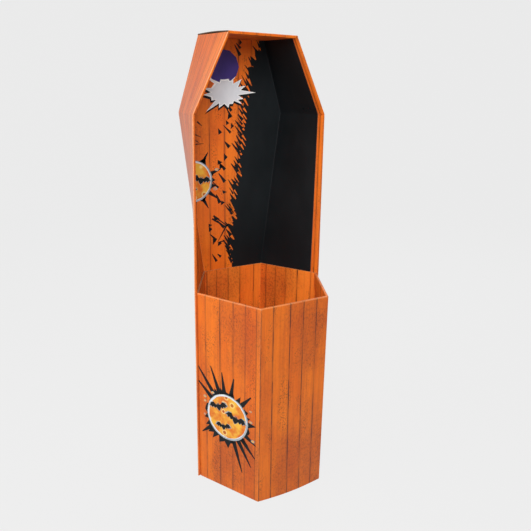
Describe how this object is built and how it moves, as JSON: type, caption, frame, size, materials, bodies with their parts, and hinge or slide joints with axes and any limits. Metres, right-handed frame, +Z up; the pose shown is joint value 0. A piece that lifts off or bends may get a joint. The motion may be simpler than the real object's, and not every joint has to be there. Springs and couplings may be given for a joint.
{
  "type": "cardboard display stand",
  "caption": "Free-standing cardboard display stand: an open six-sided bin with a tall coffin-shaped header tray behind it.",
  "frame": {"origin": "on the floor, in the middle of the stand's box", "axes": "+Z up; the front faces -Y; +X is the stand's right side seen from the front"},
  "size_m": [0.5614, 0.497, 1.7],
  "materials": {
    "shell_print": "printed wood planks, matt varnish",
    "liner_print": "printed wood planks and black, matt varnish",
    "sleeve_print": "printed wood planks, matt varnish",
    "plain_board": "unprinted brown board"
  },
  "bodies": {
    "root": {"header_shell": "shell_print", "header_liner": "liner_print", "bin_sleeve": "sleeve_print", "goods_tray": "plain_board", "base_tray": "plain_board", "support_across": "plain_board", "support_fore_aft": "plain_board"}
  },
  "joints": []
}
